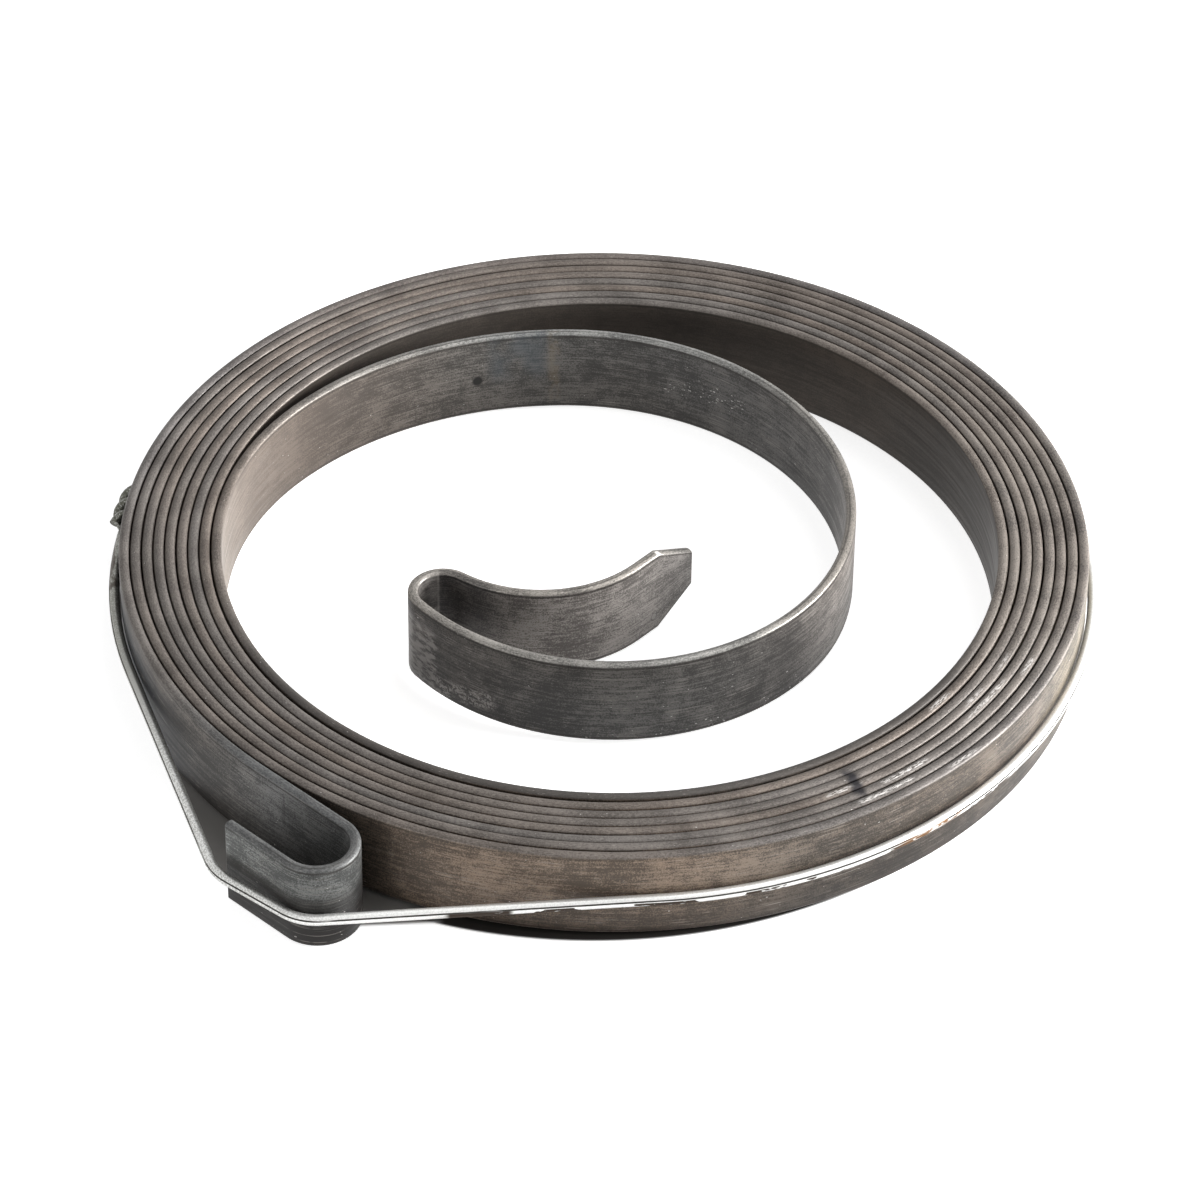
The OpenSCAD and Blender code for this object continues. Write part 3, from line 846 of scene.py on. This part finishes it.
# %% Scale and rust on the wire
SCALE, WIRE_RUST = (0.07, 0.055, 0.045), (0.20, 0.11, 0.055)
LONG_PATCH_X = -9.3 * MM
BLED_AT = (27 * MM, -32 * MM, 4 * MM)
patchy = zinc.noise(zinc.run, (4 * MM, 3 * MM, 1.0), 3.0, 0.6)
nibbles = zinc.noise(zinc.run, (2.2 * MM, 0.9 * MM, 1.0), 3.0, 0.6)
at_front = zinc.ramp(zinc.y, -20 * MM, -26 * MM)
patches = zinc.ramp(zinc.blend((patchy, 0.4), (nibbles, 0.6)), 0.49, 0.52)
picked_up = zinc.both(zinc.band(side, 0.595, 0.11, 0.02), patches, at_front,
                      zinc.ramp(zinc.x, -14 * MM, -8 * MM))
colour = zinc.mix(picked_up, colour, SCALE)
long_patch = zinc.both(zinc.band(side, 0.56, 0.10, 0.02), zinc.band(zinc.x, LONG_PATCH_X, 2.2 * MM, 0.6 * MM),
                       zinc.ramp(nibbles, 0.30, 0.34), at_front)
colour = zinc.mix(long_patch, colour, SCALE)
bled = zinc.both(zinc.spot(BLED_AT, 2 * MM, 3 * MM), zinc.band(side, 0.56, 0.12, 0.05),
                 zinc.ramp(nibbles, 0.40, 0.50))
colour = zinc.mix(bled, colour, WIRE_RUST)
rusty = zinc.both(zinc.ramp(zinc.x, -38 * MM, -40 * MM), zinc.band(zinc.y, 0.0, 3 * MM, 1 * MM),
                  zinc.ramp(nibbles, 0.46, 0.56))
colour = zinc.laid(colour, rusty, 0.9, SCALE)
print("scale along the front, rust near the twist")

# %% Put the wire's finish together
ZINC_ROUGHNESS, MARKED_ROUGHNESS = 0.34, 0.9
ZINC_METALLIC, ZINC_SPECULAR = 0.6, 0.25
ZINC_DEPTH, ZINC_STRENGTH = 0.015 * MM, 0.35
marked = zinc.maths("MAXIMUM", reflection_line, zinc.maths("MAXIMUM", picked_up, long_patch))
zinc.feed(zinc.shader.inputs["Base Color"], colour)
zinc.feed(zinc.shader.inputs["Roughness"], zinc.between(marked, ZINC_ROUGHNESS, MARKED_ROUGHNESS))
zinc.feed(zinc.shader.inputs["Normal"], zinc.bump(zinc_grain, ZINC_DEPTH, ZINC_STRENGTH))
zinc.shader.inputs["Metallic"].default_value = ZINC_METALLIC
zinc.shader.inputs["Specular IOR Level"].default_value = ZINC_SPECULAR
wire.data.materials.append(zinc.material)
print("bright wire:", len(zinc.tree.nodes), "nodes")

# %% [markdown]
# ## Floor, background and light
#
# The spring lies on a white table in a plain studio. A white background could come from strong lamps, but
# they would bleach the steel. Instead the floor and the world are told apart by the kind of ray: the
# camera, and rays that metal sends out, see white, and all other rays see a modest grey that lights the
# spring softly. One large soft lamp at the right makes the faces that turn to it bright, one above lights
# the edges, and a weak one at the left keeps the rest from going black.

# %% A floor
FLOOR_SIZE, FLOOR_DROP = 6, 0.2 * MM


def seen_ray(tree):
    """1 for rays from the camera, from gloss and through glass, and 0 for all others."""
    path = tree.nodes.new("ShaderNodeLightPath")
    share = path.outputs["Is Camera Ray"]
    for kind in ("Is Glossy Ray", "Is Transmission Ray"):
        larger = tree.nodes.new("ShaderNodeMath")
        larger.operation = "MAXIMUM"
        tree.links.new(share, larger.inputs[0])
        tree.links.new(path.outputs[kind], larger.inputs[1])
        share = larger.outputs[0]
    return share


bpy.ops.mesh.primitive_plane_add(size=FLOOR_SIZE, location=(0, 0, -FLOOR_DROP))
floor = bpy.context.object
floor.name = "floor"
table = Finish("pale_floor")
seen = seen_ray(table.tree)
print("floor", round(FLOOR_DROP / MM, 1), "mm below the spring")

# %% Shade on the floor
# Little light gets between the coil, the hook and the wire, so the floor there stays dark. That pocket lies
# on the coil's side of the wire's three straight runs. The wire stands above the floor, so the pocket is
# moved back to end behind the wire as the camera sees it. At the coil's foot lies a thin shade as well,
# which is the coil's own ring moved a little to the front left.
POCKET_BACK, POCKET_SOFT = np.array([0.0, 3.0 * MM]), 0.3 * MM
FOOT_SHIFT = (-1.25 * MM, -0.8 * MM, 0.0)
FOOT_NONE, FOOT_FULL = 39.2 * MM, 38.8 * MM


def within(angle, circle, shift):
    """1 on the inner side of the line that touches a shifted circle at an angle, easing to 0 outside."""
    reach = table.blend((table.x, float(toward(angle)[0])), (table.y, float(toward(angle)[1])))
    limit = float(toward(angle) @ (circle[0] + shift)) + circle[1]
    return table.ramp(reach, limit + POCKET_SOFT, limit - POCKET_SOFT)


origin = (np.zeros(2), 0.0)
pocket = table.both(within(leave_end, round_coil, POCKET_BACK), within(leave_hook, round_hook, POCKET_BACK),
                    within(leave_coil, round_second, POCKET_BACK), within(leave_end - 90, origin, 0.0),
                    within(leave_coil + 90, origin, 0.0), table.ramp(table.y, -8 * MM, -12 * MM))
from_axis = table.node("VectorMath", {0: table.space}, "Value", operation="LENGTH")
left_gap = table.both(table.ramp(from_axis, 40.8 * MM, 40.5 * MM), table.ramp(table.x, -37 * MM, -39 * MM),
                      table.band(table.y, 2 * MM, 4 * MM, 1.5 * MM))
under_coil = table.ramp(from_axis, 33 * MM, 35 * MM)
pocket = table.both(table.maths("MAXIMUM", pocket, left_gap), under_coil)
foot_shade = table.both(table.ramp(table.distance(FOOT_SHIFT), FOOT_NONE, FOOT_FULL),
                        table.ramp(table.x, -16 * MM, -12 * MM), under_coil)
print("shade in the pocket and at the coil's foot")

# %% Put the floor's finish together
FLOOR_SEEN, FLOOR_BOUNCE = (0.93, 0.93, 0.93), (0.35, 0.35, 0.35)
POCKET_SHADE, FOOT_SHADE = (0.27, 0.26, 0.25), (0.030, 0.028, 0.026)
FLOOR_GLOW, FLOOR_ROUGHNESS = 0.78, 0.9
pale = table.mix(foot_shade, table.mix(pocket, FLOOR_SEEN, POCKET_SHADE), FOOT_SHADE)
unlit = table.maths("MAXIMUM", pocket, foot_shade)
glow = table.maths("MULTIPLY", table.maths("SUBTRACT", 1.0, unlit), FLOOR_GLOW)
table.feed(table.shader.inputs["Base Color"], table.mix(seen, FLOOR_BOUNCE, pale))
table.feed(table.shader.inputs["Emission Color"], (1.0, 1.0, 1.0))
table.feed(table.shader.inputs["Emission Strength"], table.maths("MULTIPLY", seen, glow))
table.shader.inputs["Roughness"].default_value = FLOOR_ROUGHNESS
table.shader.inputs["Specular IOR Level"].default_value = 0.0
floor.data.materials.append(table.material)
print("pale floor:", len(table.tree.nodes), "nodes")

# %% World
WORLD_LIGHT = 0.25
world = bpy.data.worlds.new("studio")
bpy.context.scene.world = world
world.use_nodes = True
soft = world.node_tree.nodes["Background"]
soft.inputs["Color"].default_value = (1, 1, 1, 1)
soft.inputs["Strength"].default_value = WORLD_LIGHT
white = world.node_tree.nodes.new("ShaderNodeBackground")
white.inputs["Color"].default_value = (1, 1, 1, 1)
pick = world.node_tree.nodes.new("ShaderNodeMixShader")
for source, socket in ((seen_ray(world.node_tree), 0), (soft.outputs[0], 1), (white.outputs[0], 2)):
    world.node_tree.links.new(source, pick.inputs[socket])
world.node_tree.links.new(pick.outputs[0], world.node_tree.nodes["World Output"].inputs["Surface"])
print("white to the camera and to gloss,", WORLD_LIGHT, "to everything else")


# %% Lamps
def lamp(name, place, size, power):
    """A square soft light at a place, aimed at the spring."""
    light = bpy.data.lights.new(name, "AREA")
    light.size = size
    light.energy = power
    holder = bpy.data.objects.new(name, light)
    bpy.context.scene.collection.objects.link(holder)
    holder.location = place
    holder.rotation_euler = Vector(place).to_track_quat("Z", "Y").to_euler()


lamp("right_key", (0.66, 0.02, 0.17), 0.35, 13.5)
lamp("overhead", (0.32, 0.12, 0.72), 0.50, 1.7)
lamp("left_fill", (-0.45, -0.55, 0.10), 0.34, 1.7)
bpy.context.scene.view_settings.view_transform = "Standard"
print("three lamps")

# %% [markdown]
# ## Sizes
#
# The dressed spring has to stay inside the solid model's box, because others will fit it by that model.
